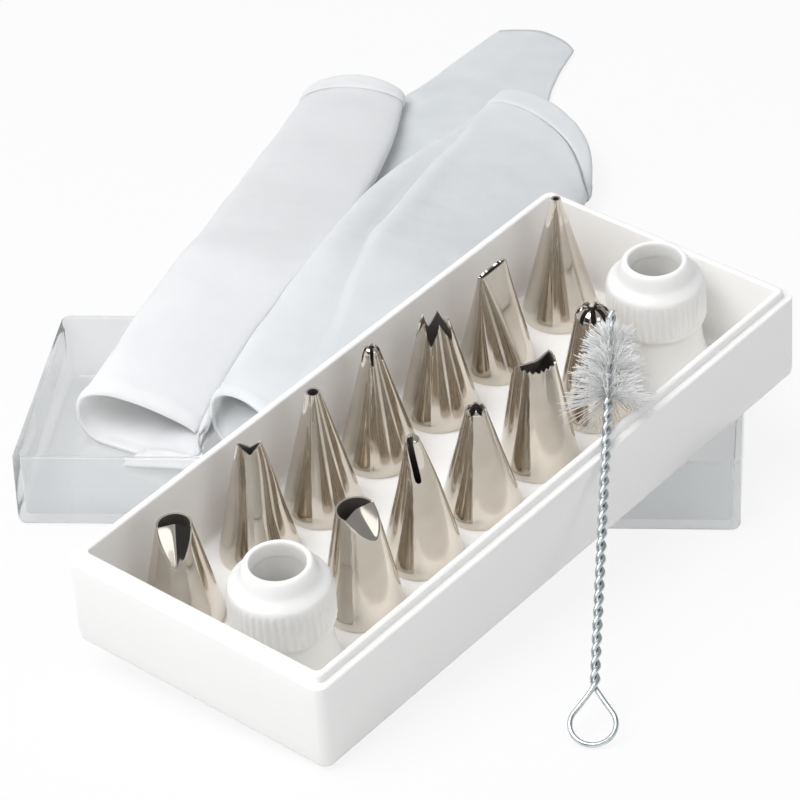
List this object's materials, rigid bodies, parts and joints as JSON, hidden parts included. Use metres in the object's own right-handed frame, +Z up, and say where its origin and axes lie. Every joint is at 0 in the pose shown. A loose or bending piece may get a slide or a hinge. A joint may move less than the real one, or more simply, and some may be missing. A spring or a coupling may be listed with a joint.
{
  "type": "piping bag set",
  "caption": "Cloth piping bag set with icing nozzles, couplers and a cleaning brush, laid out with its storage tray leaning on the upturned lid.",
  "frame": {"origin": "centre of the lid's underside, on the table", "axes": "+X along the lid to the right, +Y away from the viewer towards the far end of the bag, +Z up"},
  "size_m": [0.1837, 0.403, 0.0632],
  "materials": {
    "clear_plastic": "clear, gloss",
    "white_plastic": "satin",
    "coupler_plastic": "milky, satin",
    "nozzle_steel": "polished sheet",
    "brush_wire": "galvanised",
    "bristle_nylon": "milky",
    "bag_cloth": "coated cotton"
  },
  "bodies": {
    "lid": {"lid": "clear_plastic"},
    "tray": {"tray": "white_plastic"},
    "nozzle_petal": {"nozzle_petal": "nozzle_steel"},
    "nozzle_leaf": {"nozzle_leaf": "nozzle_steel"},
    "nozzle_round": {"nozzle_round": "nozzle_steel"},
    "nozzle_closed_star": {"nozzle_closed_star": "nozzle_steel"},
    "nozzle_open_star": {"nozzle_open_star": "nozzle_steel"},
    "nozzle_ribbon": {"nozzle_ribbon": "nozzle_steel"},
    "nozzle_writer": {"nozzle_writer": "nozzle_steel"},
    "nozzle_wide_petal": {"nozzle_wide_petal": "nozzle_steel"},
    "nozzle_rose": {"nozzle_rose": "nozzle_steel"},
    "nozzle_small_star": {"nozzle_small_star": "nozzle_steel"},
    "nozzle_ruffle": {"nozzle_ruffle": "nozzle_steel"},
    "nozzle_drop_flower": {"nozzle_drop_flower": "nozzle_steel"},
    "coupler_base_front": {"coupler_base_front": "coupler_plastic"},
    "coupler_nut_front": {"coupler_nut_front": "coupler_plastic"},
    "coupler_base_rear": {"coupler_base_rear": "coupler_plastic"},
    "coupler_nut_rear": {"coupler_nut_rear": "coupler_plastic"},
    "brush": {"brush_loop": "brush_wire", "brush_stem": "brush_wire", "brush_bristles": "bristle_nylon"},
    "bag": {"bag_left_fold": "bag_cloth", "bag_right_fold": "bag_cloth", "bag_back_panel": "bag_cloth"}
  },
  "joints": [
    {"name": "tray_lift", "type": "slide", "parent": "lid", "child": "tray", "axis": [0, 0, 1], "range_m": [0, 0.06]},
    {"name": "bag_lift", "type": "slide", "parent": "lid", "child": "bag", "axis": [0, 0, 1], "range_m": [0, 0.06]},
    {"name": "nozzle_petal_lift", "type": "slide", "parent": "tray", "child": "nozzle_petal", "axis": [0, -0.1711, 0.9853], "range_m": [0, 0.04]},
    {"name": "nozzle_leaf_lift", "type": "slide", "parent": "tray", "child": "nozzle_leaf", "axis": [0, -0.1711, 0.9853], "range_m": [0, 0.04]},
    {"name": "nozzle_round_lift", "type": "slide", "parent": "tray", "child": "nozzle_round", "axis": [0, -0.1711, 0.9853], "range_m": [0, 0.04]},
    {"name": "nozzle_closed_star_lift", "type": "slide", "parent": "tray", "child": "nozzle_closed_star", "axis": [0, -0.1711, 0.9853], "range_m": [0, 0.04]},
    {"name": "nozzle_open_star_lift", "type": "slide", "parent": "tray", "child": "nozzle_open_star", "axis": [0, -0.1711, 0.9853], "range_m": [0, 0.04]},
    {"name": "nozzle_ribbon_lift", "type": "slide", "parent": "tray", "child": "nozzle_ribbon", "axis": [0, -0.1711, 0.9853], "range_m": [0, 0.04]},
    {"name": "nozzle_writer_lift", "type": "slide", "parent": "tray", "child": "nozzle_writer", "axis": [0, -0.1711, 0.9853], "range_m": [0, 0.04]},
    {"name": "nozzle_wide_petal_lift", "type": "slide", "parent": "tray", "child": "nozzle_wide_petal", "axis": [0, -0.1711, 0.9853], "range_m": [0, 0.04]},
    {"name": "nozzle_rose_lift", "type": "slide", "parent": "tray", "child": "nozzle_rose", "axis": [0, -0.1711, 0.9853], "range_m": [0, 0.04]},
    {"name": "nozzle_small_star_lift", "type": "slide", "parent": "tray", "child": "nozzle_small_star", "axis": [0, -0.1711, 0.9853], "range_m": [0, 0.04]},
    {"name": "nozzle_ruffle_lift", "type": "slide", "parent": "tray", "child": "nozzle_ruffle", "axis": [-0.2123, -0.0193, 0.977], "range_m": [0, 0.03]},
    {"name": "nozzle_drop_flower_lift", "type": "slide", "parent": "tray", "child": "nozzle_drop_flower", "axis": [-0.2123, -0.0193, 0.977], "range_m": [0, 0.03]},
    {"name": "coupler_front_lift", "type": "slide", "parent": "tray", "child": "coupler_base_front", "axis": [0, -0.1711, 0.9853], "range_m": [0, 0.04]},
    {"name": "nut_front_off", "type": "slide", "parent": "coupler_base_front", "child": "coupler_nut_front", "axis": [0, -0.1711, 0.9853], "range_m": [0, 0.02]},
    {"name": "coupler_rear_lift", "type": "slide", "parent": "tray", "child": "coupler_base_rear", "axis": [0, -0.1711, 0.9853], "range_m": [0, 0.04]},
    {"name": "nut_rear_off", "type": "slide", "parent": "coupler_base_rear", "child": "coupler_nut_rear", "axis": [0, -0.1711, 0.9853], "range_m": [0, 0.02]},
    {"name": "brush_lift", "type": "slide", "parent": "tray", "child": "brush", "axis": [0, -0.1711, 0.9853], "range_m": [0, 0.06]}
  ]
}
